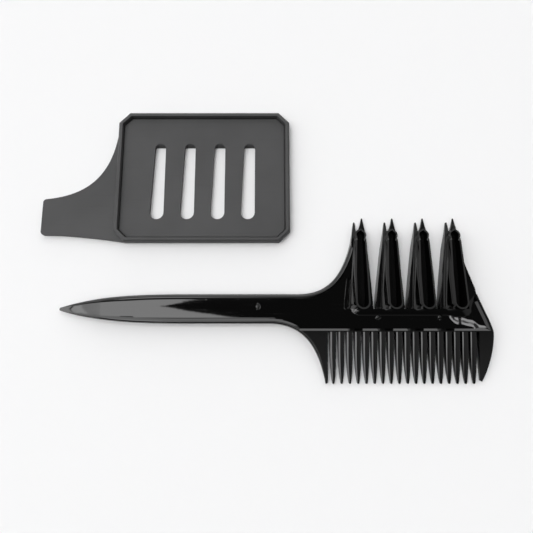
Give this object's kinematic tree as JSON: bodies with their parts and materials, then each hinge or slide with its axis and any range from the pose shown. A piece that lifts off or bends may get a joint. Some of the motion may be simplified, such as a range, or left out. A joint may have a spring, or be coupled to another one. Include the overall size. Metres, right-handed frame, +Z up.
{
  "type": "highlighting comb with tint board",
  "caption": "Tail comb with fine teeth and hooked ribbed prongs for lifting strands of hair, with a loose slotted board that seats over the ribs to hold the strands while they are tinted.",
  "frame": {"origin": "on the table plane, under the middle of the box around the two pieces as they lie side by side", "axes": "+X along the comb from its tail to its shoulder, +Y from the fine teeth towards the prongs and the board, +Z up from the table"},
  "size_m": [0.244, 0.1516, 0.0128],
  "materials": {
    "gloss_black_plastic": "polished injection-moulded black plastic",
    "satin_charcoal_plastic": "satin injection-moulded charcoal plastic"
  },
  "bodies": {
    "comb": {"tail_handle": "gloss_black_plastic", "neck": "gloss_black_plastic", "spine": "gloss_black_plastic", "shoulder": "gloss_black_plastic", "guard_left": "gloss_black_plastic", "guard_right": "gloss_black_plastic", "tooth_01": "gloss_black_plastic", "tooth_02": "gloss_black_plastic", "tooth_03": "gloss_black_plastic", "tooth_04": "gloss_black_plastic", "tooth_05": "gloss_black_plastic", "tooth_06": "gloss_black_plastic", "tooth_07": "gloss_black_plastic", "tooth_08": "gloss_black_plastic", "tooth_09": "gloss_black_plastic", "tooth_10": "gloss_black_plastic", "tooth_11": "gloss_black_plastic", "tooth_12": "gloss_black_plastic", "tooth_13": "gloss_black_plastic", "tooth_14": "gloss_black_plastic", "tooth_15": "gloss_black_plastic", "tooth_16": "gloss_black_plastic", "tooth_17": "gloss_black_plastic", "tooth_18": "gloss_black_plastic", "prong_1": "gloss_black_plastic", "prong_2": "gloss_black_plastic", "prong_3": "gloss_black_plastic", "prong_4": "gloss_black_plastic", "tine_1": "gloss_black_plastic", "tine_2": "gloss_black_plastic", "tine_3": "gloss_black_plastic", "tine_4": "gloss_black_plastic", "rib_1": "gloss_black_plastic", "rib_2": "gloss_black_plastic", "rib_3": "gloss_black_plastic", "rib_4": "gloss_black_plastic"},
    "board": {"board_tray": "satin_charcoal_plastic", "board_grip": "satin_charcoal_plastic"}
  },
  "joints": [
    {"name": "board_carry", "type": "slide", "parent": "comb", "child": "board", "axis": [0.8163, -0.3732, 0.4408], "range_m": [0, 0.1361]}
  ]
}
